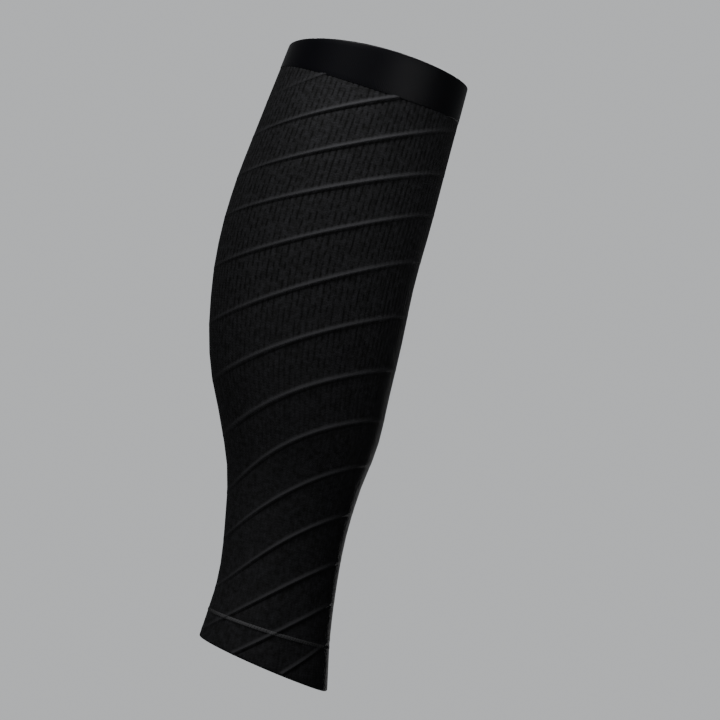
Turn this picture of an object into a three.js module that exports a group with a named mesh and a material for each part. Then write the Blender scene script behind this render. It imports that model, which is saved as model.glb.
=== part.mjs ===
// A calf compression sleeve in its worn form: a ribbed knit tube shaped by the lower leg, with a smooth
// elastic band at the top and a turned, sewn hem at the ankle. One sleeve of a pair.
// Millimetres. +Z runs up the leg and +X points to the shin. The origin lies on the line through the
// centres of the two openings, at the level where the calf is fullest.
import * as THREE from "three";
import { mergeVertices } from "three/addons/utils/BufferGeometryUtils.js";

// Driving sizes of the sleeve
const SLEEVE_LENGTH = 358; // between the levels that the ankle edge and the top edge slant across
const CALF_DEPTH = 118; // from shin to calf, where the calf is fullest
const CALF_WIDTH = 106; // from side to side at that level
const KNIT_WALL = 1.6; // one layer of the ribbed knit
const PIECE_GAP = 0.3; // clearance between neighbouring pieces

// Driving sizes of the top band, a folded elastic that is thicker than the knit
const BAND_HEIGHT = 24.6; // at the side of the leg
const BAND_WALL = 2.2;
const BAND_PROUD = 0.3; // how far it stands out from the knit
const TOP_SLANT = 4.6; // how much lower the top edge is at the shin than at the calf

// Driving sizes of the ankle hem, two layers of the knit
const HEM_HEIGHT = 20.6; // at the side of the leg
const HEM_WALL = 2.8;
const ANKLE_SLANT = 17.4; // how much lower the ankle edge is at the shin than at the heel side

// Driving sizes of the relief
const RIB_WIDTH = 4; // of a raised diagonal rib, measured up the leg
const RIB_HEIGHT = 0.9;
const RIB_SHIN_SHARE = 0.5; // of its height that a rib keeps at the shin line
const RIB_FULL_ANGLE = THREE.MathUtils.degToRad(50); // from the shin line to where a rib is at full height
const SEAM_WIDTH = 3.2; // of the raised seam that closes the hem
const SEAM_HEIGHT = 1.1;

// How finely the surfaces are divided
const COLUMNS = 48; // round the leg
const LINING_ROWS = 15; // up the inside of the tube
const BAND_ROWS = 3; // up each face of the band and up the inside of the hem
const FOLD_STEPS = 4; // round a folded edge
const SMALLEST_STEP = 0.6; // a row nearer than this to an edge becomes part of the edge

// The leg's form. level runs from 0 at the ankle to 1 at the top, as a share of SLEEVE_LENGTH. back and
// front are the reach to the calf and to the shin from the line through the openings' centres, as shares
// of CALF_DEPTH, and side is the half width as a share of CALF_WIDTH.
const LEG_SECTIONS = [
  { level: -0.03, back: 0.36, front: 0.341, side: 0.32 },
  { level: 0.05, back: 0.323, front: 0.306, side: 0.292 },
  { level: 0.13, back: 0.299, front: 0.288, side: 0.276 },
  { level: 0.22, back: 0.321, front: 0.285, side: 0.289 },
  { level: 0.3, back: 0.36, front: 0.309, side: 0.322 },
  { level: 0.38, back: 0.446, front: 0.354, side: 0.389 },
  { level: 0.46, back: 0.541, front: 0.364, side: 0.442 },
  { level: 0.55, back: 0.596, front: 0.375, side: 0.479 },
  { level: 0.65, back: 0.617, front: 0.381, side: 0.496 },
  { level: 0.75, back: 0.596, front: 0.406, side: 0.5 },
  { level: 0.87, back: 0.533, front: 0.43, side: 0.497 },
  { level: 1, back: 0.459, front: 0.457, side: 0.482 },
  { level: 1.03, back: 0.447, front: 0.461, side: 0.479 },
];
const FULLEST_SHARE = 0.65; // the level at which the calf is fullest and the origin lies
const NARROWING_SHARE = 0.12; // by which a section narrows to the shin and widens to the calf

// The raised ribs, from the ankle up. Each goes round the leg as a tilted ring, and back, side and front
// are its heights at the calf line, at the side and at the shin line, as shares of SLEEVE_LENGTH.
const RIBS = [
  { back: -0.127, side: -0.035, front: 0.058 },
  { back: -0.036, side: 0.047, front: 0.121 },
  { back: 0.038, side: 0.122, front: 0.188 },
  { back: 0.107, side: 0.202, front: 0.269 },
  { back: 0.187, side: 0.285, front: 0.352 },
  { back: 0.262, side: 0.367, front: 0.426 },
  { back: 0.351, side: 0.444, front: 0.51 },
  { back: 0.435, side: 0.526, front: 0.6 },
  { back: 0.525, side: 0.612, front: 0.692 },
  { back: 0.617, side: 0.695, front: 0.771 },
  { back: 0.702, side: 0.771, front: 0.84 },
  { back: 0.77, side: 0.841, front: 0.913 },
  { back: 0.839, side: 0.911, front: 0.977 },
  { back: 0.902, side: 0.986, front: 1.064 },
];

// The rise of the two edges at the calf line, at the side and at the shin line, from level 1 and level 0,
// as shares of TOP_SLANT and ANKLE_SLANT
const TOP_RISES = { back: 0, side: 0.17, front: -1 };
const ANKLE_RISES = { back: 0.45, side: -0.035, front: -0.55 };

// The height of the band and of the hem in the same places, as shares of BAND_HEIGHT and HEM_HEIGHT
const BAND_DEPTHS = { back: 0.6, side: 1, front: 0.89 };
const HEM_DEPTHS = { back: 0.82, side: 1, front: 1.227 };

/** A curve through the rows of LEG_SECTIONS: cubic pieces whose slopes come from the neighbouring rows. */
function sectionShare(column, level) {
  const last = LEG_SECTIONS.length - 1;
  let k = 0;
  while (k < last - 1 && LEG_SECTIONS[k + 1].level < level) k++;
  const slope = (i) => {
    const [low, high] = [LEG_SECTIONS[Math.max(i - 1, 0)], LEG_SECTIONS[Math.min(i + 1, last)]];
    return (high[column] - low[column]) / (high.level - low.level);
  };
  const [from, to] = [LEG_SECTIONS[k], LEG_SECTIONS[k + 1]];
  const span = to.level - from.level;
  const t = (level - from.level) / span;
  const blend = t * t * (3 - 2 * t);
  return (
    from[column] * (1 - blend) +
    to[column] * blend +
    span * t * (1 - t) * (slope(k) * (1 - t) - slope(k + 1) * t)
  );
}

/** A point at a height above the ankle edge, outward of the leg's form. Angle 0 is the shin line. */
function formPoint(angle, height, outward) {
  const level = height / SLEEVE_LENGTH;
  const back = CALF_DEPTH * sectionShare("back", level);
  const front = CALF_DEPTH * sectionShare("front", level);
  const side = CALF_WIDTH * sectionShare("side", level);
  const [cos, sin] = [Math.cos(angle), Math.sin(angle)];
  const half = (front + back) / 2;
  const x = (front - back) / 2 + half * cos;
  const y = side * sin * (1 - NARROWING_SHARE * cos);
  const alongX = -half * sin;
  const alongY = side * (cos - NARROWING_SHARE * (cos * cos - sin * sin));
  const run = Math.hypot(alongX, alongY);
  return new THREE.Vector3(x + (outward * alongY) / run, y - (outward * alongX) / run, height);
}

/** A smooth ring round the leg through one height at the calf line, one at the side and one at the shin. */
function ringHeight({ back, side, front }, angle) {
  const cos = Math.cos(angle);
  return side + ((front - back) / 2) * cos + ((front + back) / 2 - side) * cos * cos;
}

// Where the pieces begin and end, as heights round the leg
const ankleEdge = (angle) => ANKLE_SLANT * ringHeight(ANKLE_RISES, angle);
const topEdge = (angle) => SLEEVE_LENGTH + TOP_SLANT * ringHeight(TOP_RISES, angle);
const hemLine = (angle) => ankleEdge(angle) + HEM_HEIGHT * ringHeight(HEM_DEPTHS, angle);
const bandLine = (angle) => topEdge(angle) - BAND_HEIGHT * ringHeight(BAND_DEPTHS, angle);
const ribLine = (rib, angle) => SLEEVE_LENGTH * ringHeight(rib, angle);

// The seam lies on a flat strip of the knit, from which the ribs rise again on both sides
const SEAM_STRIP = SEAM_WIDTH / 2 + PIECE_GAP;

/** How far the knit's face stands out from the leg's form: a rounded rise at each rib, none at the seam. */
function ribRelief(angle, height) {
  const fromShin = Math.abs(THREE.MathUtils.euclideanModulo(angle + Math.PI, 2 * Math.PI) - Math.PI);
  const fullness = THREE.MathUtils.smoothstep(fromShin, 0, RIB_FULL_ANGLE);
  const shinFade = RIB_SHIN_SHARE + (1 - RIB_SHIN_SHARE) * fullness;
  const fromSeam = Math.abs(height - hemLine(angle));
  const seamFade = THREE.MathUtils.smoothstep(fromSeam, SEAM_STRIP, SEAM_STRIP + RIB_WIDTH / 2);
  const rise = RIBS.reduce((highest, rib) => {
    const away = Math.abs(height - ribLine(rib, angle)) / (RIB_WIDTH / 2);
    return Math.max(highest, 1 - away * away);
  }, 0);
  return RIB_HEIGHT * rise * shinFade * seamFade;
}

/** The heights of the rows that follow the ribs: foot, crest and foot of each, and one between ribs. */
function ribRows(angle) {
  const crests = RIBS.map((rib) => ribLine(rib, angle));
  return crests.flatMap((crest, i) => {
    const rows = [crest - RIB_WIDTH / 2, crest, crest + RIB_WIDTH / 2];
    return i + 1 < crests.length ? [...rows, (crest + crests[i + 1]) / 2] : rows;
  });
}

/** Evenly spaced heights from low to high, without the two ends. */
function evenRows(low, high, count) {
  return Array.from({ length: count }, (_, i) => low + ((high - low) * (i + 1)) / (count + 1));
}

/** The outer face of a piece of knit from low to high, with the rows that follow the ribs kept between. */
function knitFace(angle, low, high) {
  const kept = ribRows(angle).map((height) => {
    if (height < low + SMALLEST_STEP) return low;
    return height > high - SMALLEST_STEP ? high : height;
  });
  return [low, ...kept, high].map((height) => ({ height, outward: ribRelief(angle, height) }));
}

/** The half circle round a folded edge of a wall whose outer face is at `outward`. */
function foldedEdge(edge, outward, wall, direction) {
  const radius = wall / 2;
  return Array.from({ length: FOLD_STEPS - 1 }, (_, i) => {
    const turn = (Math.PI * (i + 1)) / FOLD_STEPS;
    return {
      height: edge + direction * radius * (Math.sin(turn) - 1),
      outward: outward - radius + direction * radius * Math.cos(turn),
    };
  });
}

/** A closed ring of cloth: section(angle) lists its outline up the outer face and down the inner one. */
function clothRing(section) {
  const outlines = Array.from({ length: COLUMNS }, (_, c) => {
    const angle = (2 * Math.PI * c) / COLUMNS;
    return section(angle).map(({ height, outward }) => formPoint(angle, height, outward));
  });
  const points = outlines.flat();
  const around = outlines[0].length;
  const corners = [];
  for (let c = 0; c < COLUMNS; c++) {
    const next = (c + 1) % COLUMNS;
    for (let k = 0; k < around; k++) {
      const up = (k + 1) % around;
      const [a, b, d, e] = [c * around + k, next * around + k, next * around + up, c * around + up];
      corners.push(a, b, d, a, d, e);
    }
  }
  const raw = new THREE.BufferGeometry().setFromPoints(points);
  raw.setIndex(corners);
  const geometry = mergeVertices(raw, 1e-4);
  const index = Array.from(geometry.index.array);
  const kept = [];
  for (let i = 0; i < index.length; i += 3) {
    const [a, b, d] = index.slice(i, i + 3);
    if (a !== b && b !== d && a !== d) kept.push(a, b, d);
  }
  geometry.setIndex(kept);
  geometry.computeVertexNormals();
  return geometry;
}

/** The ribbed tube, from the hem's seam up to the band. */
function legTube() {
  return clothRing((angle) => {
    const low = hemLine(angle) + PIECE_GAP / 2;
    const high = bandLine(angle) - PIECE_GAP / 2;
    const lining = [low, ...evenRows(low, high, LINING_ROWS), high].reverse();
    return [
      { height: low, outward: 0 },
      ...knitFace(angle, hemLine(angle) + SEAM_STRIP, high),
      ...lining.map((height) => ({ height, outward: -KNIT_WALL })),
    ];
  });
}

/** The smooth elastic band above the tube, folded over at the top. */
function topBand() {
  return clothRing((angle) => {
    const low = bandLine(angle) + PIECE_GAP / 2;
    const edge = topEdge(angle);
    const high = edge - BAND_WALL / 2;
    const rows = [low, ...evenRows(low, high, BAND_ROWS), high];
    return [
      ...rows.map((height) => ({ height, outward: BAND_PROUD })),
      ...foldedEdge(edge, BAND_PROUD, BAND_WALL, 1),
      ...rows.reverse().map((height) => ({ height, outward: BAND_PROUD - BAND_WALL })),
    ];
  });
}

/** The hem: the tube's own knit, turned up inside at the ankle edge, so two layers thick. */
function ankleHem() {
  return clothRing((angle) => {
    const edge = ankleEdge(angle);
    const low = edge + HEM_WALL / 2;
    const high = hemLine(angle) - PIECE_GAP / 2;
    const inside = [low, ...evenRows(low, high, BAND_ROWS), high].reverse();
    return [
      ...knitFace(angle, low, hemLine(angle) - SEAM_STRIP),
      { height: high, outward: 0 },
      ...inside.map((height) => ({ height, outward: -HEM_WALL })),
      ...foldedEdge(edge, 0, HEM_WALL, -1),
    ];
  });
}

/** The raised seam over the joint of tube and hem: flat underneath and rounded on top. */
function hemSeam() {
  return clothRing((angle) => {
    const middle = hemLine(angle);
    const reach = SEAM_WIDTH / 2;
    const foot = PIECE_GAP;
    const shoulder = foot + SEAM_HEIGHT * 0.7;
    return [
      { height: middle - reach, outward: foot },
      { height: middle - reach / 2, outward: shoulder },
      { height: middle, outward: foot + SEAM_HEIGHT },
      { height: middle + reach / 2, outward: shoulder },
      { height: middle + reach, outward: foot },
    ];
  });
}

// Black nylon and elastane: a dull ribbed knit, a smoother elastic and a twisted thread
const knit = new THREE.MeshStandardMaterial({ color: 0x141414, roughness: 0.9, metalness: 0 });
const elastic = new THREE.MeshStandardMaterial({ color: 0x0d0d0d, roughness: 0.5, metalness: 0 });
const thread = new THREE.MeshStandardMaterial({ color: 0x1a1a1a, roughness: 0.75, metalness: 0 });

/** A named piece of the sleeve. */
function piece(name, geometry, material) {
  const mesh = new THREE.Mesh(geometry, material);
  mesh.name = name;
  return mesh;
}

const sleeve = new THREE.Group();
sleeve.add(
  piece("leg_tube", legTube(), knit),
  piece("top_band", topBand(), elastic),
  piece("ankle_hem", ankleHem(), knit),
  piece("hem_seam", hemSeam(), thread),
);
sleeve.position.z = -FULLEST_SHARE * SLEEVE_LENGTH;

const part = new THREE.Group();
part.add(sleeve);

export default part;
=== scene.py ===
"""A black calf compression sleeve in its worn form, dressed around its CAD frame.

The sleeve is a ribbed knit tube with a smooth elastic band at the top and a turned, sewn hem at the ankle.
Lengths are in millimetres, as the sleeve was drawn, and become metres where a mesh is made. Heights are
counted from the level of the ankle edge, and angles from the shin line.
"""

from __future__ import annotations

import logging
import math
from collections.abc import Callable
from dataclasses import dataclass, field
from enum import Enum
from functools import partial

import bpy
import numpy as np
import numpy.typing as npt
from mathutils import Matrix, Vector


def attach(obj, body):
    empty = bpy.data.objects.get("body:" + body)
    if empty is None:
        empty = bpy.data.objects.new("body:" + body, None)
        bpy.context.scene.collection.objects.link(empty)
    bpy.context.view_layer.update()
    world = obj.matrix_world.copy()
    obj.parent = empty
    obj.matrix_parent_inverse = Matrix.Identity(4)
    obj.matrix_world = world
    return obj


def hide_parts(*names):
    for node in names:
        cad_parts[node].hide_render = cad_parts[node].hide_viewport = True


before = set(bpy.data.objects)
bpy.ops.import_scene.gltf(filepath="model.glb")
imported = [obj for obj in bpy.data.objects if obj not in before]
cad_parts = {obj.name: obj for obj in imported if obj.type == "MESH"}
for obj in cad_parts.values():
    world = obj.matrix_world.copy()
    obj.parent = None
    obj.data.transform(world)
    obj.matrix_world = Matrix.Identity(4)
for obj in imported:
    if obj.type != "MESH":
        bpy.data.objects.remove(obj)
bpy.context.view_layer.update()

Array = npt.NDArray[np.float64]
Place = tuple[float, float, float]  # metres, in the part's frame

MM = 0.001  # metres
TURN = 2 * np.pi
SLEEVE_LENGTH = 358.0  # from the level of the ankle edge to that of the top edge
SMALLEST_STEP = 0.4  # a row nearer than this to an edge becomes part of the edge
SHARP = np.radians(60)  # faces that meet at more than this angle meet in a sharp edge
MIX_SHARE, MIX_FROM, MIX_TO, MIXED = 0, 6, 7, 2  # a Mix node's colour sockets and its output

log = logging.getLogger("sleeve")


class Reach(Enum):
    """The column of the leg's section table that holds each reach."""

    BACK = 1
    FRONT = 2
    SIDE = 3


class Fold(Enum):
    """Which way a folded edge points."""

    UP = 1
    DOWN = -1


def smooth_step(share: Array) -> Array:
    """A smooth rise from nought to one: three times the square of the share, less twice its cube."""
    return share * share * (3 - 2 * share)


@dataclass(frozen=True)
class Ring:
    """A closed line round the leg, given by its heights at the calf, at the side and at the shin."""

    back: float
    side: float
    front: float

    def height(self, angle: Array) -> Array:
        """The line's height: a constant, a cosine and a squared cosine that meet the three given heights.

        Args:
            angle: angles round the leg, zero at the shin line.

        Returns:
            The height at each angle, in the unit of the three heights.
        """
        cos = np.cos(angle)
        rise = (self.front - self.back) / 2
        bow = (self.front + self.back) / 2 - self.side
        return self.side + rise * cos + bow * cos**2


@dataclass(frozen=True)
class LegForm:
    """The form that the leg gives to the sleeve."""

    length: float = SLEEVE_LENGTH
    calf_depth: float = 118.0
    calf_width: float = 106.0
    fullest_level: float = 0.65  # of the calf, where the origin lies
    shin_narrowing: float = 0.12  # share by which a section narrows to the shin and widens to the calf
    sections: tuple[tuple[float, float, float, float], ...] = (
        # level, reach to the calf, reach to the shin, half width
        (-0.03, 0.36, 0.341, 0.32),
        (0.05, 0.323, 0.306, 0.292),
        (0.13, 0.299, 0.288, 0.276),
        (0.22, 0.321, 0.285, 0.289),
        (0.3, 0.36, 0.309, 0.322),
        (0.38, 0.446, 0.354, 0.389),
        (0.46, 0.541, 0.364, 0.442),
        (0.55, 0.596, 0.375, 0.479),
        (0.65, 0.617, 0.381, 0.496),
        (0.75, 0.596, 0.406, 0.5),
        (0.87, 0.533, 0.43, 0.497),
        (1.0, 0.459, 0.457, 0.482),
        (1.03, 0.447, 0.461, 0.479),
    )

    def share(self, reach: Reach, level: Array) -> Array:
        """A smooth curve through one column of the sections: cubic pieces with slopes from the neighbours.

        Args:
            reach: the column.
            level: heights as shares of the length.

        Returns:
            The column's value at each level.
        """
        table = np.array(self.sections)
        levels, values = table[:, 0], table[:, reach.value]
        rows = np.arange(len(levels))
        after = np.minimum(rows + 1, rows[-1])
        before = np.maximum(rows - 1, 0)
        slopes = (values[after] - values[before]) / (levels[after] - levels[before])
        k = np.clip(np.searchsorted(levels, level) - 1, 0, rows[-1] - 1)
        span = levels[k + 1] - levels[k]
        t = (level - levels[k]) / span
        blend = smooth_step(t)
        bend = span * t * (1 - t) * (slopes[k] * (1 - t) - slopes[k + 1] * t)
        return values[k] * (1 - blend) + values[k + 1] * blend + bend

    def place(self, angle: Array, height: Array, outward: Array) -> Array:
        """Points on a leg whose sections are ellipses, fuller at the calf and narrower at the shin.

        A section's depth runs with the cosine of the angle and its width with the sine, lessened by a share
        of the cosine. A point is then moved out of the section along the section's own level normal.

        Args:
            angle: angles round the leg.
            height: heights in millimetres.
            outward: distances out of the leg's form in millimetres.

        Returns:
            The points in metres, in the part's frame, with a last axis of x, y and z.
        """
        level = height / self.length
        back = self.calf_depth * self.share(Reach.BACK, level)
        front = self.calf_depth * self.share(Reach.FRONT, level)
        side = self.calf_width * self.share(Reach.SIDE, level)
        cos, sin = np.cos(angle), np.sin(angle)
        half = (front + back) / 2
        x = (front - back) / 2 + half * cos
        y = side * sin * (1 - self.shin_narrowing * cos)
        along_x = -half * sin
        along_y = side * (cos - self.shin_narrowing * (cos**2 - sin**2))
        run = np.hypot(along_x, along_y)
        z = height - self.fullest_level * self.length
        return MM * np.stack(
            np.broadcast_arrays(x + outward * along_y / run, y - outward * along_x / run, z), axis=-1
        )


@dataclass(frozen=True)
class Lines:
    """Where the sleeve's pieces begin and end, as heights round the leg."""

    length: float = SLEEVE_LENGTH
    top_slant: float = 4.6  # how much lower the top edge is at the shin than at the calf
    ankle_slant: float = 17.4  # how much lower the ankle edge is at the shin than at the heel side
    band_height: float = 24.6
    hem_height: float = 20.6
    top_rises: Ring = Ring(0.0, 0.17, -1.0)  # shares of the top slant
    ankle_rises: Ring = Ring(0.45, -0.035, -0.55)  # shares of the ankle slant
    band_depths: Ring = Ring(0.6, 1.0, 0.89)  # shares of the band's height
    hem_depths: Ring = Ring(0.82, 1.0, 1.227)  # shares of the hem's height

    def ankle_edge(self, angle: Array) -> Array:
        """The folded edge at the ankle."""
        return self.ankle_slant * self.ankle_rises.height(angle)

    def top_edge(self, angle: Array) -> Array:
        """The folded edge of the band."""
        return self.length + self.top_slant * self.top_rises.height(angle)

    def hem_line(self, angle: Array) -> Array:
        """The line of the hem's seam."""
        return self.ankle_edge(angle) + self.hem_height * self.hem_depths.height(angle)

    def band_line(self, angle: Array) -> Array:
        """The line where the band meets the ribbed tube."""
        return self.top_edge(angle) - self.band_height * self.band_depths.height(angle)


@dataclass(frozen=True)
class DiagonalRibs:
    """The raised ribs that climb from the calf to the shin, each a closed tilted ring round the leg."""

    length: float = SLEEVE_LENGTH
    height: float = 1.0
    above: float = 2.9  # how far a rib slopes off above its crest
    below: float = 0.95  # how far it drops below its crest
    crest_drop: float = 1.1  # how far the crest lies under the rib's middle line
    ditch_depth: float = 0.25  # of the crease that the tight knit makes under a rib
    ditch_width: float = 1.6
    shin_share: float = 0.08  # of its height that a rib keeps at the shin line
    calf_share: float = 0.1  # and at the calf line
    top_share: float = 0.5  # of its height that the topmost rib has under the pull of the band
    shin_reach: float = math.radians(80)  # from the shin line to where a rib is at full height
    calf_reach: float = math.radians(92)  # and from the calf line
    row_offsets: tuple[float, ...] = (  # the rows of points beside a crest
        *(-2.7, -2.2, -1.75, -1.3, -0.95, -0.65, -0.35),
        *(0.0, 0.5, 1.1, 1.7, 2.3, 3.0),
    )
    rows_between: int = 1
    rings: tuple[Ring, ...] = (  # the ribs' middle lines, as shares of the length
        Ring(-0.127, -0.035, 0.058),
        Ring(-0.036, 0.047, 0.121),
        Ring(0.038, 0.122, 0.188),
        Ring(0.107, 0.202, 0.269),
        Ring(0.187, 0.285, 0.352),
        Ring(0.262, 0.367, 0.426),
        Ring(0.351, 0.444, 0.51),
        Ring(0.435, 0.526, 0.6),
        Ring(0.525, 0.612, 0.692),
        Ring(0.617, 0.695, 0.771),
        Ring(0.702, 0.771, 0.84),
        Ring(0.77, 0.841, 0.913),
        Ring(0.839, 0.911, 0.977),
        Ring(0.902, 0.986, 1.064),
    )

    def crests(self, angle: Array) -> Array:
        """The heights of all crests, one row for each rib and one column for each angle."""
        return self.length * np.stack([ring.height(angle) for ring in self.rings]) - self.crest_drop

    def strongest(self, angle: Array, shares: Array) -> Array:
        """The strongest rib's share at each point, lessened where the ribs fade.

        Args:
            angle: one angle for each column.
            shares: each rib's own shares, in ribs, rows and columns.

        Returns:
            The shares, in rows and columns.
        """
        strength = np.ones((len(self.rings), 1, 1))
        strength[-1] = self.top_share
        return self.fade(angle) * (strength * shares).max(axis=0)

    def shares(self, angle: Array, height: Array) -> tuple[Array, Array]:
        """How far up a rib, and how deep in the crease under one, each point lies.

        A rib is a squared cosine on each side of its crest, long above and short below. A crease is a
        squared cosine over its width.

        Args:
            angle: one angle for each column.
            height: heights in rows and columns.

        Returns:
            Shares of a rib's height and of a crease's depth, in the same rows and columns.
        """
        from_crest = height[None] - self.crests(angle)[:, None]
        reach = np.where(from_crest > 0, self.above, self.below)
        rise = np.cos(np.pi / 2 * np.clip(np.abs(from_crest) / reach, 0, 1)) ** 2
        from_middle = from_crest + self.below + self.ditch_width / 2
        crease = np.cos(np.pi * np.clip(np.abs(from_middle) / self.ditch_width, 0, 0.5)) ** 2
        return self.strongest(angle, rise), self.strongest(angle, crease)

    def relief(self, angle: Array, height: Array) -> Array:
        """How far the knit stands out in millimetres: its rise, less the crease under each rib."""
        rise, crease = self.shares(angle, height)
        return self.height * rise - self.ditch_depth * crease

    def raised(self, angle: Array, height: Array) -> Array:
        """From one on a crest, through zero on the flat knit, to minus one in a crease."""
        # The knit's finish paints a highlight where this is above nought and shade where it is below.
        rise, crease = self.shares(angle, height)
        return rise - crease

    def fade(self, angle: Array) -> Array:
        """The share of its height that a raised line keeps round the leg: less at the shin and at the calf.

        Args:
            angle: angles round the leg.

        Returns:
            The share at each angle, with a smooth step on the way from either line.
        """
        from_shin = np.abs((angle + np.pi) % TURN - np.pi)
        shin = np.clip(from_shin / self.shin_reach, 0, 1)
        calf = np.clip((np.pi - from_shin) / self.calf_reach, 0, 1)
        shin_fade = self.shin_share + (1 - self.shin_share) * smooth_step(shin)
        calf_fade = self.calf_share + (1 - self.calf_share) * smooth_step(calf)
        return shin_fade * calf_fade

    def rows(self, angle: Array, low: Array, high: Array) -> Array:
        """The heights of the rows between two lines: close beside each crest and a few between two ribs.

        A row outside the lines, or very near one, lies on that line.

        Args:
            angle: one angle for each column.
            low: the lower line's height in each column.
            high: the upper line's height in each column.

        Returns:
            The heights, in rows from low to high and in columns.
        """
        crests = self.crests(angle)
        beside = crests[:, None] + np.array(self.row_offsets)[None, :, None]
        parts = np.linspace(0, 1, self.rows_between + 2)[1:-1]
        start, stop = beside[:-1, -1], beside[1:, 0]
        between = start[:, None] + (stop - start)[:, None] * parts[None, :, None]
        columns = len(angle)
        climbing = np.concatenate([beside[:-1], between], axis=1).reshape(-1, columns)
        every = np.concatenate([climbing, beside[-1]])
        every = np.where(every < low + SMALLEST_STEP, low, every)
        every = np.where(every > high - SMALLEST_STEP, high, every)
        return np.concatenate([low[None], every, high[None]])


@dataclass(frozen=True)
class Wales:
    """The fine upright ribs of the knit, the same number at every height."""

    count: int = 106
    columns_each: int = 5
    depth: float = 0.16
    groove_power: float = 3.0  # the higher, the narrower the groove between two wales
    closed_share: float = 0.3  # of the depth that is left at the ankle, where the knit is stretched less
    closed_below: float = 110.0  # the height under which the wales are as closed as at the ankle
    open_above: float = 225.0  # and the height over which they are fully open

    def angles(self) -> Array:
        """The angles of the mesh's columns."""
        columns = self.count * self.columns_each
        return TURN * np.arange(columns) / columns

    def relief(self, angle: Array, height: Array) -> Array:
        """A narrow groove at each edge of a wale: a power of the distance from the wale's middle.

        Args:
            angle: one angle for each column.
            height: heights in rows and columns.

        Returns:
            The relief in millimetres, in the same rows and columns.
        """
        phase = (angle / TURN * self.count) % 1.0
        t = np.clip((height - self.closed_below) / (self.open_above - self.closed_below), 0, 1)
        opened = self.closed_share + (1 - self.closed_share) * smooth_step(t)
        return -self.depth * opened * np.abs(2 * phase - 1) ** self.groove_power


@dataclass
class Outline:
    """The outline of a wall of cloth at every angle: rows up the outer face, then down the inner one."""

    heights: list[Array] = field(default_factory=list)
    outwards: list[Array] = field(default_factory=list)
    raised: list[Array] = field(default_factory=list)

    def add(self, height: Array, outward: Array | float, raised: Array | float = 0.0) -> None:
        """Adds rows.

        Args:
            height: heights, in rows and columns.
            outward: distances out of the leg's form, in the same rows and columns or one for all.
            raised: where each point lies between a crease and a crest, from minus one to one, likewise.
        """
        self.heights.append(height)
        self.outwards.append(np.broadcast_to(outward, height.shape))
        self.raised.append(np.broadcast_to(raised, height.shape))

    def fold(self, edge: Array, outward: Array | float, wall: float, way: Fold, steps: int = 8) -> None:
        """Adds the rows round a folded edge: a half circle as wide as the wall.

        Args:
            edge: the edge's height in each column.
            outward: the outer face's distance out of the leg's form.
            wall: the wall's thickness.
            way: which way the edge points.
            steps: into how many steps the half circle is divided.
        """
        turn = (np.pi * np.arange(1, steps) / steps)[:, None]
        radius = wall / 2
        height = edge[None] + way.value * radius * (np.sin(turn) - 1)
        self.add(height, outward - radius + way.value * radius * np.cos(turn))

    def mesh(self, name: str, form: LegForm, angle: Array, wales: int, course: float) -> bpy.types.Object:
        """Carries the outline round the leg and makes the closed ring of cloth.

        The surface is a grid of two parameters, the row along the outline and the column round the leg, and
        both close on themselves. Rows that lie on one another share their points, and the faces between
        them are left out. The UV map counts wales round the leg and courses up it, and an attribute tells
        crests from creases.

        Args:
            name: the piece's name.
            form: the leg's form.
            angle: the columns' angles.
            wales: how many wales the UV map counts round the leg.
            course: the height in millimetres that the UV map counts as one.

        Returns:
            The piece.
        """
        height, outward = np.concatenate(self.heights), np.concatenate(self.outwards)
        rows, columns = height.shape
        points = form.place(angle[None], height, outward).reshape(-1, 3)
        fresh = np.ones(height.shape, bool)
        fresh[1:] = (height[1:] != height[:-1]) | (outward[1:] != outward[:-1])
        owner = np.maximum.accumulate(np.where(fresh, np.arange(rows)[:, None], 0), axis=0)
        vertex = owner * columns + np.arange(columns)
        beside = np.roll(vertex, -1, axis=1)
        above = np.roll(vertex, -1, axis=0)
        across = np.roll(above, -1, axis=1)
        u = np.broadcast_to(np.arange(columns) * wales / columns, height.shape)
        u_beside = u + wales / columns
        v = height / course
        v_beside, v_above = np.roll(v, -1, axis=1), np.roll(v, -1, axis=0)
        v_across = np.roll(v_above, -1, axis=1)
        triangles = np.concatenate(
            [np.stack([vertex, beside, across], -1), np.stack([vertex, across, above], -1)]
        ).reshape(-1, 3)
        us = np.concatenate([np.stack([u, u_beside, u_beside], -1), np.stack([u, u_beside, u], -1)])
        vs = np.concatenate([np.stack([v, v_beside, v_across], -1), np.stack([v, v_across, v_above], -1)])
        a, b, c = triangles.T
        whole = (a != b) & (b != c) & (a != c)
        uv = np.stack([us, vs], axis=-1).reshape(-1, 3, 2)[whole]
        used, corners = np.unique(triangles[whole], return_inverse=True)
        raised = np.concatenate(self.raised).ravel()[used]
        return new_piece(name, points[used], corners.reshape(-1, 3), uv, raised)


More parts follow.
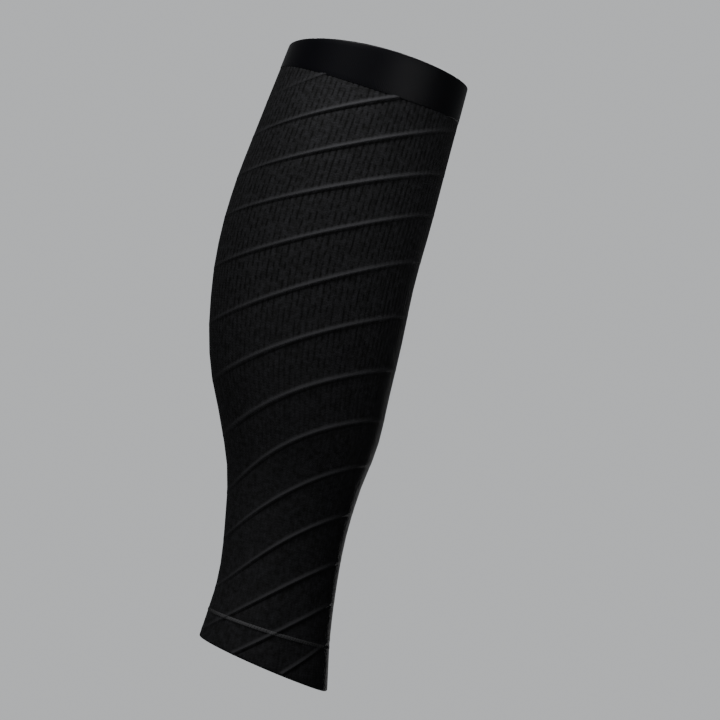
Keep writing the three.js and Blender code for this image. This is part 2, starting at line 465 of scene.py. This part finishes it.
def new_piece(
    name: str, points: Array, corners: npt.NDArray[np.int64], uv: Array, raised: Array
) -> bpy.types.Object:
    """Puts whole arrays of points and faces into a new mesh object.

    Args:
        name: the piece's name.
        points: the vertices in metres.
        corners: the vertex numbers of each face, all faces with as many corners.
        uv: one UV pair for each corner of each face.
        raised: where each point lies between a crease and a crest, kept for the finishes' painted light and
            shade.

    Returns:
        The piece, smooth and linked to the scene.
    """
    mesh = bpy.data.meshes.new(name)
    faces, sides = corners.shape
    mesh.vertices.add(len(points))
    mesh.vertices.foreach_set("co", points.astype(np.float32).ravel())
    mesh.loops.add(faces * sides)
    mesh.loops.foreach_set("vertex_index", corners.astype(np.int32).ravel())
    mesh.polygons.add(faces)
    mesh.polygons.foreach_set("loop_start", np.arange(0, faces * sides, sides, dtype=np.int32))
    layer = mesh.uv_layers.new(name="knit")
    layer.data.foreach_set("uv", uv.astype(np.float32).ravel())
    attribute = mesh.attributes.new("raised", "FLOAT", "POINT")
    attribute.data.foreach_set("value", raised.astype(np.float32))
    mesh.update(calc_edges=True)
    mesh.validate()
    mesh.shade_smooth()
    mesh.set_sharp_from_angle(angle=SHARP)
    piece = bpy.data.objects.new(name, mesh)
    bpy.context.scene.collection.objects.link(piece)
    return piece


def even_rows(low: Array, high: Array, count: int) -> Array:
    """Evenly spaced rows from one line to another, with both.

    Args:
        low: the first line's height in each column.
        high: the last line's height in each column.
        count: how many rows there are.

    Returns:
        The heights, in rows and columns.
    """
    return low[None] + (high - low)[None] * np.linspace(0, 1, count)[:, None]


def linear(hex_colour: str) -> tuple[float, float, float, float]:
    """Turns an sRGB colour such as "#101011" to linear light.

    Args:
        hex_colour: a hash and six hexadecimal digits.

    Returns:
        Linear red, green and blue, and an alpha of 1.
    """
    srgb = np.array([int(hex_colour[i : i + 2], 16) for i in (1, 3, 5)]) / 255
    light = np.where(srgb <= 0.04045, srgb / 12.92, ((srgb + 0.055) / 1.055) ** 2.4)
    return (float(light[0]), float(light[1]), float(light[2]), 1.0)


def add_node(
    tree: bpy.types.NodeTree,
    kind: str,
    settings: dict[str | int, object] | None = None,
    links: dict[str | int, bpy.types.NodeSocket] | None = None,
) -> bpy.types.Node:
    """Adds a node with its settings and links.

    Args:
        tree: the node tree.
        kind: the node's type name after ShaderNode.
        settings: values by the name or number of an input socket, or by the name of a property.
        links: sockets to link from, by the name or number of the input socket that they go to.

    Returns:
        The node.
    """
    node = tree.nodes.new("ShaderNode" + kind)
    for key, value in (settings or {}).items():
        if isinstance(key, int) or key in node.inputs:
            node.inputs[key].default_value = value
        else:
            setattr(node, key, value)
    for key, socket in (links or {}).items():
        tree.links.new(socket, node.inputs[key])
    return node


# Math nodes in a chain: a wave along a count, and the distance from the middle of what is counted
WAVE_STEPS = ({"operation": "MULTIPLY", 1: TURN}, {"operation": "SINE"})
FROM_MIDDLE_STEPS = ({"operation": "FRACT"}, {"operation": "SUBTRACT", 1: 0.5}, {"operation": "ABSOLUTE"})


def from_range(ends: tuple[float, float]) -> dict[str | int, object]:
    """The settings with which a Map Range node turns what lies between two ends to nought to one."""
    return {"From Min": ends[0], "From Max": ends[1]}


def new_material(name: str) -> tuple[bpy.types.Material, Callable[..., bpy.types.Node]]:
    """Starts an empty material.

    Args:
        name: the material's name.

    Returns:
        The material, and add_node bound to its node tree.
    """
    material = bpy.data.materials.new(name)
    material.use_nodes = True
    material.node_tree.nodes.clear()
    return material, partial(add_node, material.node_tree)


@dataclass(frozen=True)
class RibbedNylonKnit:
    """Black nylon and elastane yarn, weft-knitted in upright wales: matt, with painted highlights on raised
    places.

    The eye sees fine upright stripes, small loops between them and a slight mottle where the yarn varies.
    The real courses are about 0.7 mm high, too fine to show, so the loops are drawn 1.5 mm high.
    """

    name: str = "ribbed nylon knit"
    course: float = 1.5
    loop_slant: float = 0.9  # how many courses a loop's leg climbs over the width of a wale
    loop_relief: float = 0.02
    deep: str = "#040404"  # the yarn where it lies open
    full: str = "#0a0a0b"  # and where it lies close
    # painted shade: this colour darkens the grooves between wales and the creases under the ribs
    groove: str = "#020202"
    rib: str = "#111112"  # painted highlight, mixed in on the ribs' crests
    crease: float = 0.9  # how much the crease under a rib takes on the groove's colour, as painted shade
    groove_sides: tuple[float, float] = (0.2, 0.46)  # wales from a wale's middle, over which the painted shade of the groove sets in
    dash_number: float = 1.3  # how often a groove breaks off, for each wale
    dash_shortness: float = 0.3  # its share along the wales, where the dashes are long
    dash_detail: float = 2.0
    dash_ends: tuple[float, float] = (0.41, 0.55)  # the noise at a dash's faint end and at its dark middle
    opening: tuple[float, float] = (-0.12, -0.01)  # metres in the part's frame, over which the wales open
    closed_share: float = 0.25  # of the grooves' painted shade that is left where the wales are closed
    mottle: float = 2.8  # size of the yarn's uneven spots
    mottle_detail: float = 4.0
    mottle_roughness: float = 0.65
    mottle_ends: tuple[float, float] = (0.32, 0.68)
    fuzz_size: float = 0.8
    fuzz_detail: float = 2.0
    fuzz_relief: float = 0.07
    roughness: float = 0.8
    gloss: float = 0.01  # specular level: the fine yarns scatter nearly all of the gloss away

    def material(self) -> bpy.types.Material:
        """Makes the finish: loops from the UV map's wales and courses, mottle and fuzz from noise.

        The yarn's colour is mixed with the groove's in the dashes of the grooves, then with the rib's on the
        crests, and with the groove's again in the creases: painted shade in the grooves and creases, and a
        painted highlight on the crests.

        Returns:
            The material.
        """
        material, node = new_material(self.name)
        place = node("TexCoord")
        split = node("SeparateXYZ", {}, {0: place.outputs["UV"]})
        aside = split
        for step in FROM_MIDDLE_STEPS:
            aside = node("Math", step, {0: aside.outputs[0]})
        loops = node(
            "Math",
            {"operation": "MULTIPLY_ADD", 1: self.loop_slant},
            {0: aside.outputs[0], 2: split.outputs["Y"]},
        )
        for step in WAVE_STEPS:
            loops = node("Math", step, {0: loops.outputs[0]})
        long_way = node("Mapping", {"Scale": (1.0, self.dash_shortness, 1.0)}, {0: place.outputs["UV"]})
        dashes = node(
            "TexNoise",
            {"Scale": self.dash_number, "Detail": self.dash_detail},
            {"Vector": long_way.outputs[0]},
        )
        broken = node("MapRange", from_range(self.dash_ends), {"Value": dashes.outputs[0]})
        level = node("SeparateXYZ", {}, {0: place.outputs["Object"]})
        opened = node(
            "MapRange",
            from_range(self.opening) | {"To Min": self.closed_share},
            {"Value": level.outputs["Z"]},
        )
        # Painted shade in the grooves between wales, broken into dashes and fainter where the wales are
        # closed.
        grooves = node("MapRange", from_range(self.groove_sides), {"Value": aside.outputs[0]})
        for part in (broken, opened):
            grooves = node("Math", {"operation": "MULTIPLY"}, {0: grooves.outputs[0], 1: part.outputs[0]})
        mottle = node(
            "TexNoise",
            {
                "Scale": 1 / (self.mottle * MM),
                "Detail": self.mottle_detail,
                "Roughness": self.mottle_roughness,
            },
            {"Vector": place.outputs["Object"]},
        )
        spots = node("MapRange", from_range(self.mottle_ends), {"Value": mottle.outputs[0]})
        colour = node(
            "Mix",
            {"data_type": "RGBA", MIX_FROM: linear(self.deep), MIX_TO: linear(self.full)},
            {MIX_SHARE: spots.outputs[0]},
        )
        # Painted light: a highlight in the rib colour on the crests, and shade in the groove colour in the
        # creases under the ribs.
        raised = node("Attribute", {"attribute_name": "raised"})
        sunk = node("Math", {"operation": "MULTIPLY", 1: -self.crease}, {0: raised.outputs["Fac"]})
        for share, over in (
            (grooves.outputs[0], self.groove),
            (raised.outputs["Fac"], self.rib),
            (sunk.outputs[0], self.groove),
        ):
            colour = node(
                "Mix",
                {"data_type": "RGBA", MIX_TO: linear(over)},
                {MIX_SHARE: share, MIX_FROM: colour.outputs[MIXED]},
            )
        fuzz = node(
            "TexNoise",
            {"Scale": 1 / (self.fuzz_size * MM), "Detail": self.fuzz_detail},
            {"Vector": place.outputs["Object"]},
        )
        loop_bump = node("Bump", {"Distance": self.loop_relief * MM}, {"Height": loops.outputs[0]})
        bump = node(
            "Bump",
            {"Distance": self.fuzz_relief * MM},
            {"Height": fuzz.outputs[0], "Normal": loop_bump.outputs[0]},
        )
        shader = node(
            "BsdfPrincipled",
            {"Roughness": self.roughness, "Specular IOR Level": self.gloss},
            {"Base Color": colour.outputs[MIXED], "Normal": bump.outputs[0]},
        )
        node("OutputMaterial", {}, {0: shader.outputs[0]})
        return material


@dataclass(frozen=True)
class FlatKnitElastic:
    """Flat-knit black elastic: smooth and satin, with very fine upright lines that only show close by.

    It is darker than the ribbed knit where it faces no light, and shows one soft upright highlight.
    """

    name: str = "flat-knit elastic"
    deep: str = "#010101"
    full: str = "#010102"
    line: float = 1.1  # spacing of the fine upright lines
    line_relief: float = 0.02
    grain_size: float = 0.9
    grain_detail: float = 3.0
    grain_relief: float = 0.012
    roughness: float = 0.45
    gloss: float = 0.012

    def material(self) -> bpy.types.Material:
        """Makes the finish: upright lines from the UV map, a faint grain from noise.

        Returns:
            The material.
        """
        material, node = new_material(self.name)
        place = node("TexCoord")
        split = node("SeparateXYZ", {}, {0: place.outputs["UV"]})
        lines = split
        for step in WAVE_STEPS:
            lines = node("Math", step, {0: lines.outputs[0]})
        grain = node(
            "TexNoise",
            {"Scale": 1 / (self.grain_size * MM), "Detail": self.grain_detail},
            {"Vector": place.outputs["Object"]},
        )
        colour = node(
            "Mix",
            {"data_type": "RGBA", MIX_FROM: linear(self.deep), MIX_TO: linear(self.full)},
            {MIX_SHARE: grain.outputs[0]},
        )
        line_bump = node("Bump", {"Distance": self.line_relief * MM}, {"Height": lines.outputs[0]})
        bump = node(
            "Bump",
            {"Distance": self.grain_relief * MM},
            {"Height": grain.outputs[0], "Normal": line_bump.outputs[0]},
        )
        shader = node(
            "BsdfPrincipled",
            {"Roughness": self.roughness, "Specular IOR Level": self.gloss},
            {"Base Color": colour.outputs[MIXED], "Normal": bump.outputs[0]},
        )
        node("OutputMaterial", {}, {0: shader.outputs[0]})
        return material


@dataclass(frozen=True)
class StretchThread:
    """Textured black nylon sewing thread: dull, a shade lighter than the knit, with twisted plies."""

    name: str = "stretch thread"
    flat: str = "#080808"  # painted shade, where the seam lies flat at the shin and at the calf
    deep: str = "#1a1a1b"
    full: str = "#242425"
    ply: float = 0.8  # how far one turn of the twist reaches
    ply_unevenness: float = 1.5
    ply_detail: float = 1.0
    ply_relief: float = 0.06
    roughness: float = 0.8
    gloss: float = 0.02

    def material(self) -> bpy.types.Material:
        """Makes the finish: slanting bands for the plies, with painted shade where the seam lies flat.

        Returns:
            The material.
        """
        material, node = new_material(self.name)
        place = node("TexCoord")
        plies = node(
            "TexWave",
            {
                "bands_direction": "DIAGONAL",
                "Scale": 1 / (self.ply * MM),
                "Distortion": self.ply_unevenness,
                "Detail": self.ply_detail,
            },
            {"Vector": place.outputs["Object"]},
        )
        colour = node(
            "Mix",
            {"data_type": "RGBA", MIX_FROM: linear(self.deep), MIX_TO: linear(self.full)},
            {MIX_SHARE: plies.outputs["Fac"]},
        )
        # Painted shade: the thread turns to the flat colour where the seam's standing share is low, at the
        # shin and at the calf.
        raised = node("Attribute", {"attribute_name": "raised"})
        standing = node(
            "Mix",
            {"data_type": "RGBA", MIX_FROM: linear(self.flat)},
            {MIX_SHARE: raised.outputs["Fac"], MIX_TO: colour.outputs[MIXED]},
        )
        bump = node("Bump", {"Distance": self.ply_relief * MM}, {"Height": plies.outputs["Fac"]})
        shader = node(
            "BsdfPrincipled",
            {"Roughness": self.roughness, "Specular IOR Level": self.gloss},
            {"Base Color": standing.outputs[MIXED], "Normal": bump.outputs[0]},
        )
        node("OutputMaterial", {}, {0: shader.outputs[0]})
        return material


def dress(piece: bpy.types.Object, material: bpy.types.Material, slot: str, *nodes: str) -> None:
    """Gives a piece its finish and its place in the frame.

    Args:
        piece: the piece.
        material: its finish.
        slot: the material slot's name; not used.
        nodes: the CAD nodes that it stands for.
    """
    piece.data.materials.append(material)
    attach(piece, "root")
    if nodes:
        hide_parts(*nodes)


@dataclass
class RibbedTube:
    """The ribbed knit tube from the hem's seam up to the band."""

    form: LegForm
    lines: Lines
    ribs: DiagonalRibs
    wales: Wales
    wall: float = 1.6
    tuck: float = 0.8  # how far it runs up under the band's lip
    lining_rows: int = 14

    def build(self, knit: bpy.types.Material, course: float) -> bpy.types.Object:
        """Makes the tube: ribs and wales in relief outside, faint wales inside.

        Args:
            knit: the knit's finish.
            course: the height of one course in millimetres.

        Returns:
            The piece.
        """
        angle = self.wales.angles()
        low = self.lines.hem_line(angle)
        high = self.lines.band_line(angle) + self.tuck
        face = self.ribs.rows(angle, low, high)
        lining = even_rows(high, low, self.lining_rows)
        outline = Outline()
        relief = self.ribs.relief(angle, face) + self.wales.relief(angle, face)
        outline.add(face, relief, self.ribs.raised(angle, face))
        outline.add(lining, -self.wall - self.wales.relief(angle, lining) / 2)
        tube = outline.mesh("ribbed_knit_tube", self.form, angle, self.wales.count, course)
        dress(tube, knit, "ribbed_knit", "leg_tube")
        return tube


@dataclass
class AnkleHem:
    """The hem: the same knit turned up inside at the ankle edge, two layers thick."""

    form: LegForm
    lines: Lines
    ribs: DiagonalRibs
    wales: Wales
    wall: float = 2.8
    inside_rows: int = 8
    fold_steps: int = 10

    def build(self, knit: bpy.types.Material, course: float) -> bpy.types.Object:
        """Makes the hem, with the ribs running out over its folded edge.

        Args:
            knit: the knit's finish.
            course: the height of one course in millimetres.

        Returns:
            The piece.
        """
        angle = self.wales.angles()
        edge = self.lines.ankle_edge(angle)
        low = edge + self.wall / 2
        high = self.lines.hem_line(angle)
        face = self.ribs.rows(angle, low, high)
        inside = even_rows(high, low, self.inside_rows)
        relief = self.ribs.relief(angle, face) + self.wales.relief(angle, face)
        lining = self.wales.relief(angle, inside) / 2
        outline = Outline()
        outline.add(face, relief, self.ribs.raised(angle, face))
        outline.add(inside, -self.wall - lining)
        outline.fold(edge, self.fold_relief(relief[0], -lining[-1]), self.wall, Fold.DOWN, self.fold_steps)
        hem = outline.mesh("ankle_hem_knit", self.form, angle, self.wales.count, course)
        dress(hem, knit, "ribbed_knit", "ankle_hem")
        return hem

    def fold_relief(self, outer: Array, inner: Array) -> Array:
        """How far each row of the fold stands out: from the inner face's relief to the outer face's.

        Args:
            outer: the outer face's relief at the fold, one value for each column.
            inner: the inner face's relief there.

        Returns:
            The relief, in the fold's rows and in columns.
        """
        share = ((1 - np.cos(np.pi * np.arange(1, self.fold_steps) / self.fold_steps)) / 2)[:, None]
        return share * outer[None] + (1 - share) * inner[None]


@dataclass
class TopBand:
    """The smooth elastic band, folded over at the top edge."""

    form: LegForm
    lines: Lines
    wall: float = 2.2
    proud: float = 0.2  # how far it stands out from the knit
    columns: int = 300
    rows: int = 9
    lip_steps: int = 4

    def build(self, elastic: bpy.types.Material, line: float) -> bpy.types.Object:
        """Makes the band with a rounded lower lip.

        Args:
            elastic: the elastic's finish.
            line: the spacing of its fine upright lines in millimetres.

        Returns:
            The piece.
        """
        angle = TURN * np.arange(self.columns) / self.columns
        low = self.lines.band_line(angle)
        edge = self.lines.top_edge(angle)
        high = edge - self.wall / 2
        lip = self.proud * 2
        turn = (np.pi / 2 * np.arange(self.lip_steps) / self.lip_steps)[:, None]
        outline = Outline()
        outline.add(low[None] + lip * (1 - np.cos(turn)), self.proud - lip * (1 - np.sin(turn)))
        outline.add(even_rows(low + lip, high, self.rows), self.proud)
        outline.fold(edge, self.proud, self.wall, Fold.UP)
        outline.add(even_rows(high, low, self.rows), self.proud - self.wall)
        girth = np.pi * (self.form.calf_depth + self.form.calf_width) / 2
        band = outline.mesh("elastic_top_band", self.form, angle, round(girth / line), line)
        dress(band, elastic, "smooth_elastic", "top_band")
        return band


@dataclass
class HemSeam:
    """The seam that closes the hem: a raised ridge of gathered knit, sewn over with slanting stitches."""

    form: LegForm
    lines: Lines
    ribs: DiagonalRibs
    wales: Wales
    width: float = 2.0
    height: float = 1.0
    sunk: float = 0.35  # how deep the ridge's underside lies in the knit
    columns: int = 480
    rows: int = 11
    stitches: int = 132
    thread: float = 0.28  # thickness of the thread
    proud: float = 0.2  # shares of the thread's thickness by which a stitch's middle lies out of the ridge
    laid_in: float = 0.3  # and by which it lies deeper where the seam is flat
    dive: int = 8  # the higher this power, the nearer to its ends a stitch dives into the knit
    taper: int = 6  # the higher this power, the shorter a stitch's thin ends
    end_left: float = 0.02  # share of the thread's section that is left at the very ends
    slant: float = 0.5  # share of the stitch spacing that a stitch leans
    overhang: float = 0.15  # how far a stitch reaches past the ridge
    shin_loss: float = 0.8  # share of its height that the ridge has lost at the shin line
    steps: int = 11
    sides: int = 6

    def standing(self, angle: Array) -> Array:
        """The share of its height that the ridge keeps: it fades like the ribs, and more to the shin."""
        return self.ribs.fade(angle) * (1 - self.shin_loss * (1 + np.cos(angle)) / 2)

    def ridge(self, angle: Array, share: Array) -> Array:
        """The ridge's height: half an ellipse over its width, from minus one to one."""
        return self.height * self.standing(angle) * np.sqrt(np.clip(1 - share**2, 0, 1))

    def build_ridge(self, thread: bpy.types.Material, course: float) -> bpy.types.Object:
        """Makes the ridge, which climbs over the ribs that it crosses.

        Args:
            thread: the thread's finish, because the gathered knit lies under its threads.
            course: the height of one course in millimetres.

        Returns:
            The piece.
        """
        angle = TURN * np.arange(self.columns) / self.columns
        share = np.sin(np.pi / 2 * np.linspace(-1, 1, self.rows))[:, None]
        height = self.lines.hem_line(angle)[None] + self.width / 2 * share
        lift = self.ribs.relief(angle, height)
        outline = Outline()
        # The standing share is kept as the raised attribute, from which the thread's finish paints shade
        # where the seam lies flat.
        outline.add(height, lift + self.ridge(angle, share), self.standing(angle))
        outline.add(height[::-1][1:-1:3], -self.sunk)  # the underside needs only every third row
        ridge = outline.mesh("hem_seam_ridge", self.form, angle, self.wales.count, course)
        dress(ridge, thread, "seam_thread", "hem_seam")
        return ridge

    def build_stitches(self, thread: bpy.types.Material) -> bpy.types.Object:
        """Makes the slanting stitches as one mesh of short tubes.

        A stitch runs over the ridge from below to above, leans by a share of the spacing, and dives into
        the knit at both ends. Its tube is a circle carried along that path, square to it.

        Args:
            thread: the thread's finish.

        Returns:
            The piece.
        """
        spacing = TURN / self.stitches
        share = np.linspace(-1, 1, self.steps)[None]
        angle = spacing * np.arange(self.stitches)[:, None] + spacing * self.slant * share
        reach = self.width / 2 + self.overhang
        height = self.lines.hem_line(angle) + reach * share
        lift = self.rib_lift(angle, height) + self.ridge(angle, reach * share / (self.width / 2))
        standing = self.standing(angle)
        depth = share**self.dive + self.laid_in * (1 - standing)
        outward = lift + self.thread * (self.proud - depth)
        middle = self.form.place(angle, height, outward)
        out = self.form.place(angle, height, outward + 1) - middle
        out /= np.linalg.norm(out, axis=-1, keepdims=True)
        along = np.gradient(middle, axis=1)
        along /= np.linalg.norm(along, axis=-1, keepdims=True)
        side = np.cross(along, out)
        side /= np.linalg.norm(side, axis=-1, keepdims=True)
        out = np.cross(side, along)
        turn = TURN * np.arange(self.sides) / self.sides
        section = np.clip(1 + self.end_left - share**self.taper, 0, 1)[..., None, None]
        radius = self.thread / 2 * MM * np.sqrt(section)
        circle = out[:, :, None] * np.cos(turn)[:, None] + side[:, :, None] * np.sin(turn)[:, None]
        points = middle[:, :, None] + radius * circle
        number = np.arange(points[..., 0].size).reshape(points.shape[:3])
        beside = np.roll(number, -1, axis=2)
        walls = np.stack([number[:, :-1], number[:, 1:], beside[:, 1:], beside[:, :-1]], -1).reshape(-1, 4)
        first, last = number[:, 0], number[:, -1]
        fan = [[0, k, k + 1, k + 2] for k in range(1, self.sides - 1, 2)]  # closes a tube's end
        caps = [first[:, face] for face in fan] + [last[:, face[::-1]] for face in fan]
        corners = np.concatenate([walls, *caps])
        uv = np.zeros((len(corners), 4, 2))
        # The standing share is kept as the raised attribute, from which the thread's finish paints shade
        # where the seam lies flat.
        raised = np.repeat(standing.ravel(), self.sides)
        piece = new_piece("hem_stitches", points.reshape(-1, 3), corners, uv, raised)
        dress(piece, thread, "seam_thread")
        return piece

    def rib_lift(self, angle: Array, height: Array) -> Array:
        """The ribs' relief at scattered points, each with its own angle and height."""
        flat = self.ribs.relief(angle.ravel(), height.reshape(1, -1))
        return flat.reshape(height.shape)


def hang(name: str, light: bpy.types.Light, place: Place, aim: Place) -> None:
    """Hangs a light, turned to its aim and unseen by the camera.

    Args:
        name: the lamp's name.
        light: its light.
        place: where it hangs.
        aim: where it shines.
    """
    lamp = bpy.data.objects.new(name, light)
    lamp.location = place
    lamp.visible_camera = False
    lamp.rotation_euler = (Vector(aim) - Vector(place)).to_track_quat("-Z", "Y").to_euler()
    bpy.context.scene.collection.objects.link(lamp)


@dataclass(frozen=True)
class Softbox:
    """A rectangular studio light that faces the sleeve."""

    name: str
    place: Place
    width: float  # metres
    height: float  # metres
    power: float  # watts
    aim: Place = (0.0, 0.0, -0.05)
    spread: float = np.pi  # how wide the light leaves it: a honeycomb grid narrows it

    def build(self) -> None:
        """Makes the light and hangs it."""
        light = bpy.data.lights.new(self.name, "AREA")
        light.shape = "RECTANGLE"
        light.size = self.width
        light.size_y = self.height
        light.energy = self.power
        light.spread = self.spread
        hang(self.name, light, self.place, self.aim)


@dataclass(frozen=True)
class Spot:
    """A small focused lamp whose round beam fades softly to its rim."""

    name: str
    place: Place
    radius: float  # metres
    power: float  # watts, as if it shone all round
    aim: Place
    beam: float  # the whole angle of the beam
    blend: float = 1.0  # share of the beam over which it fades

    def build(self) -> None:
        """Makes the light and hangs it."""
        light = bpy.data.lights.new(self.name, "SPOT")
        light.shadow_soft_size = self.radius
        light.energy = self.power
        light.spot_size = self.beam
        light.spot_blend = self.blend
        hang(self.name, light, self.place, self.aim)


@dataclass
class Studio:
    """A pale floor, soft lights and a camera at the side of the leg, low and a little tilted."""

    distance: float = 1.46  # metres from the camera to its aim
    looking_up: float = math.radians(3.0)
    lean: float = math.radians(11.0)  # by which the leg leans to the right in the picture
    aim: Place = (0.0219, 0.0, -0.0489)
    lens: float = 124.5
    sight: float = 50.0  # metres that the camera sees
    floor_height: float = -1.5
    floor_radius: float = 5.0
    floor_opening: float = 0.02  # share of the radius that is open in the middle
    floor_sides: int = 96
    floor_roughness: float = 0.9
    floor_colour: str = "#f2f2f2"
    room_colour: str = "#d2d4d6"
    room_light: float = 0.85
    lights: tuple[Softbox | Spot, ...] = (
        Softbox("key softbox", (-0.17, -0.31, 0.62), 0.24, 0.24, 30.0),
        Softbox("low fill", (-0.75, -1.25, -0.5), 0.7, 0.7, 3.3, (0.0, 0.0, -0.2), math.radians(45)),
        Spot("top spot", (-0.15, -0.4, 0.8), 0.02, 90.0, (-0.014, -0.05, 0.112), math.radians(6.5)),
        Softbox("band strip", (1.22, -1.08, 0.3), 0.6, 0.3, 1.35, (0.02, 0.0, 0.12), math.radians(14)),
        Softbox("shin rim light", (0.6, 1.15, -0.45), 0.15, 0.3, 0.36, (0.02, 0.0, -0.17), math.radians(22)),
        Softbox("back light", (0.0, 0.95, 0.75), 0.4, 0.4, 25.0),
    )

    def build(self) -> None:
        """Sets the camera, the floor, the lights and the room's own soft light."""
        self.build_camera()
        self.build_floor()
        for light in self.lights:
            light.build()
        world = bpy.data.worlds.new("pale room")
        world.use_nodes = True
        back = world.node_tree.nodes["Background"]
        back.inputs["Color"].default_value = linear(self.room_colour)
        back.inputs["Strength"].default_value = self.room_light
        bpy.context.scene.world = world

    def build_camera(self) -> None:
        """Places the camera: it looks along +Y, a little up, with the leg's axis leaning in the picture."""
        right = Vector((math.cos(self.lean), 0.0, math.sin(self.lean)))
        level_up = Vector((-math.sin(self.lean), 0.0, math.cos(self.lean)))
        depth = Vector((0.0, 1.0, 0.0))
        forward = depth * math.cos(self.looking_up) + level_up * math.sin(self.looking_up)
        up = level_up * math.cos(self.looking_up) - depth * math.sin(self.looking_up)
        turned = Matrix((right, up, -forward)).transposed().to_4x4()
        camera = bpy.data.objects.new("camera", bpy.data.cameras.new("camera"))
        camera.data.lens = self.lens
        camera.data.clip_end = self.sight
        camera.matrix_world = Matrix.Translation(Vector(self.aim) - self.distance * forward) @ turned
        bpy.context.scene.collection.objects.link(camera)
        bpy.context.scene.camera = camera

    def build_floor(self) -> None:
        """Makes the round floor as one ring of faces, with its finish."""
        sides = self.floor_sides
        turn = TURN * np.arange(sides) / sides
        rim = np.stack([np.cos(turn), np.sin(turn), np.zeros_like(turn)], axis=-1)
        points = np.concatenate([rim * self.floor_opening, rim]) * self.floor_radius
        points[:, 2] = self.floor_height
        inner = np.arange(sides)
        beside = (inner + 1) % sides
        corners = np.stack([inner, inner + sides, beside + sides, beside], axis=-1)
        floor = new_piece("floor", points, corners, np.zeros((sides, 4, 2)), np.zeros(len(points)))
        material, node = new_material("pale paper")
        shader = node(
            "BsdfPrincipled", {"Base Color": linear(self.floor_colour), "Roughness": self.floor_roughness}
        )
        node("OutputMaterial", {}, {0: shader.outputs[0]})
        floor.data.materials.append(material)


@dataclass
class Sleeve:
    """The whole sleeve, built from its sub-assemblies on one leg form."""

    form: LegForm = field(default_factory=LegForm)
    lines: Lines = field(default_factory=Lines)
    ribs: DiagonalRibs = field(default_factory=DiagonalRibs)
    wales: Wales = field(default_factory=Wales)
    cut_width: float = 0.275  # metres, the knit's relaxed girth at its widest, slit open and laid flat
    cut_length: float = 0.33  # metres
    cut_area: float = 0.078  # square metres, because the tube narrows to the ankle

    def build(self) -> list[bpy.types.Object]:
        """Builds every piece.

        Returns:
            The pieces, from the tube to the stitches.
        """
        knit_finish, elastic_finish = RibbedNylonKnit(), FlatKnitElastic()
        knit, elastic, thread = knit_finish.material(), elastic_finish.material(), StretchThread().material()
        tube = RibbedTube(self.form, self.lines, self.ribs, self.wales).build(knit, knit_finish.course)
        hem = AnkleHem(self.form, self.lines, self.ribs, self.wales).build(knit, knit_finish.course)
        band = TopBand(self.form, self.lines).build(elastic, elastic_finish.line)
        seam = HemSeam(self.form, self.lines, self.ribs, self.wales)
        ridge = seam.build_ridge(thread, knit_finish.course)
        stitches = seam.build_stitches(thread)
        return [tube, hem, band, ridge, stitches]


def main() -> None:
    logging.basicConfig(level=logging.INFO, format="%(name)s: %(message)s")
    Studio().build()
    for piece in Sleeve().build():
        log.info("%s: %d faces", piece.name, len(piece.data.polygons))


if __name__ == "__main__":
    main()
